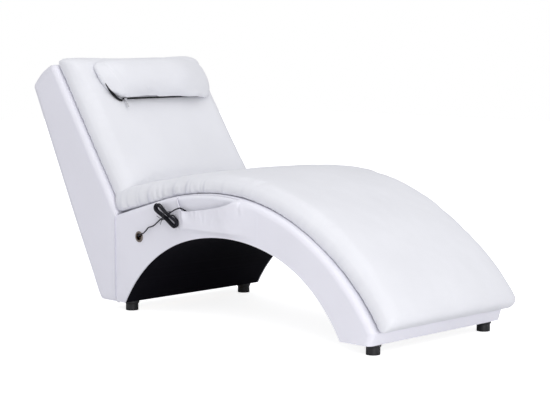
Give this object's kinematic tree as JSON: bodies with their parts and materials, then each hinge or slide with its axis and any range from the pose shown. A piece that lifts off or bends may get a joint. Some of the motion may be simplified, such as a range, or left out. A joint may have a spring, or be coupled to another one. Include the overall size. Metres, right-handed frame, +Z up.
{
  "type": "relaxation lounger",
  "caption": "Arched relaxation lounger with a wedge backrest, two pads, a neck pillow and a corded massage handset in a side pocket.",
  "frame": {"origin": "on the floor, at the bottom centre of the bounding box without the cord", "axes": "+X towards the foot end, +Y from the pocket side to the far side, +Z up"},
  "size_m": [1.4408, 0.5747, 0.7384],
  "materials": {
    "cover_side": "soft matt, white",
    "cover_top": "soft matt, white",
    "pad": "soft matt, white",
    "pocket_cover": "soft matt, white",
    "liner": "black spunbond",
    "pocket_liner": "light grey",
    "ply": "raw plywood",
    "pine": "raw softwood",
    "foot_black": "satin black",
    "steel": "zinc plated",
    "pod_shell": "dark grey",
    "weight": "plain",
    "tape": "white hook and loop tape",
    "zip": "dark grey tape with coil",
    "zip_metal": "nickel plated",
    "grommet": "darkened nickel",
    "box_black": "textured black",
    "handset": "mid grey",
    "button": "light grey",
    "cord": "dark grey",
    "tie": "black"
  },
  "bodies": {
    "lounger": {"back_cover": "cover_side", "back_side_panel_near": "ply", "back_side_panel_far": "ply", "back_cross_rails": "pine", "back_front_board": "ply", "back_rear_board": "ply", "back_bottom_liner": "liner", "seat_cover_near": "cover_side", "seat_cover_far": "cover_side", "seat_cover_top": "cover_top", "seat_deck_board": "ply", "seat_side_frame_near": "ply", "seat_side_frame_far": "ply", "seat_cross_rails": "pine", "seat_end_board": "ply", "arch_liner": "liner", "toe_liner": "liner", "pocket_lining": "pocket_liner", "pocket_front_panel": "pocket_cover", "cord_grommet": "grommet", "foot_front_near": "foot_black", "foot_front_far": "foot_black", "foot_rear_near": "foot_black", "foot_rear_far": "foot_black", "foot_studs": "steel", "joining_bolts": "steel", "joining_nuts": "steel", "seat_cushion": "pad", "back_cushion": "pad", "cushion_loop_tape": "tape", "pod_motors": "steel", "control_box": "box_black", "cord_lead": "cord", "cord_hank": "cord", "cord_tail": "cord", "twist_tie": "tie", "massage_pod_shoulder": "pod_shell", "massage_pod_lumbar": "pod_shell", "massage_pod_seat": "pod_shell", "massage_pod_thigh": "pod_shell", "massage_pod_calf": "pod_shell"},
    "handset": {"handset_front": "handset", "handset_rear": "handset", "handset_cord_guard": "cord"},
    "pillow": {"neck_pillow": "pad", "pillow_hook_tape": "tape", "pillow_zip": "zip"},
    "zip_slider": {"zip_slider": "zip_metal"},
    "zip_pull": {"zip_pull": "zip_metal"},
    "button_power": {"button_power": "button"},
    "button_mode": {"button_mode": "button"},
    "button_stronger": {"button_stronger": "button"},
    "button_weaker": {"button_weaker": "button"},
    "pod_weight_shoulder": {"pod_weight_shoulder": "weight"},
    "pod_weight_lumbar": {"pod_weight_lumbar": "weight"},
    "pod_weight_seat": {"pod_weight_seat": "weight"},
    "pod_weight_thigh": {"pod_weight_thigh": "weight"},
    "pod_weight_calf": {"pod_weight_calf": "weight"}
  },
  "joints": [
    {"name": "handset_lift", "type": "slide", "parent": "lounger", "child": "handset", "axis": [0, 0, 1], "range_m": [0, 0.12], "deforming": ["cord_tail"]},
    {"name": "pillow_lift", "type": "slide", "parent": "lounger", "child": "pillow", "axis": [0.8251, 0, 0.565], "range_m": [0, 0.05]},
    {"name": "zip_run", "type": "slide", "parent": "pillow", "child": "zip_slider", "axis": [0, 1, 0], "range_m": [0, 0.26]},
    {"name": "zip_pull_swing", "type": "hinge", "parent": "zip_slider", "child": "zip_pull", "pos_m": [-0.45666, -0.128, 0.60981], "axis": [0.8251, 0, 0.565], "range_deg": [-80, 80]},
    {"name": "button_power_press", "type": "slide", "parent": "handset", "child": "button_power", "axis": [0, 1, 0], "range_m": [0, 0.0008], "stiffness_N_per_m": 300, "springref_m": -0.002},
    {"name": "button_mode_press", "type": "slide", "parent": "handset", "child": "button_mode", "axis": [0, 1, 0], "range_m": [0, 0.0008], "stiffness_N_per_m": 300, "springref_m": -0.002},
    {"name": "button_stronger_press", "type": "slide", "parent": "handset", "child": "button_stronger", "axis": [0, 1, 0], "range_m": [0, 0.0008], "stiffness_N_per_m": 300, "springref_m": -0.002},
    {"name": "button_weaker_press", "type": "slide", "parent": "handset", "child": "button_weaker", "axis": [0, 1, 0], "range_m": [0, 0.0008], "stiffness_N_per_m": 300, "springref_m": -0.002},
    {"name": "pod_weight_shoulder_spin", "type": "hinge", "parent": "lounger", "child": "pod_weight_shoulder", "pos_m": [-0.51947, 0.0145, 0.59499], "axis": [0, 1, 0], "continuous": true},
    {"name": "pod_weight_lumbar_spin", "type": "hinge", "parent": "lounger", "child": "pod_weight_lumbar", "pos_m": [-0.41613, 0.0145, 0.44406], "axis": [0, 1, 0], "continuous": true},
    {"name": "pod_weight_seat_spin", "type": "hinge", "parent": "lounger", "child": "pod_weight_seat", "pos_m": [-0.16895, 0.0145, 0.34708], "axis": [0, 1, 0], "continuous": true},
    {"name": "pod_weight_thigh_spin", "type": "hinge", "parent": "lounger", "child": "pod_weight_thigh", "pos_m": [0.09493, 0.0145, 0.38623], "axis": [0, 1, 0], "continuous": true},
    {"name": "pod_weight_calf_spin", "type": "hinge", "parent": "lounger", "child": "pod_weight_calf", "pos_m": [0.40627, 0.0145, 0.30882], "axis": [0, 1, 0], "continuous": true}
  ]
}
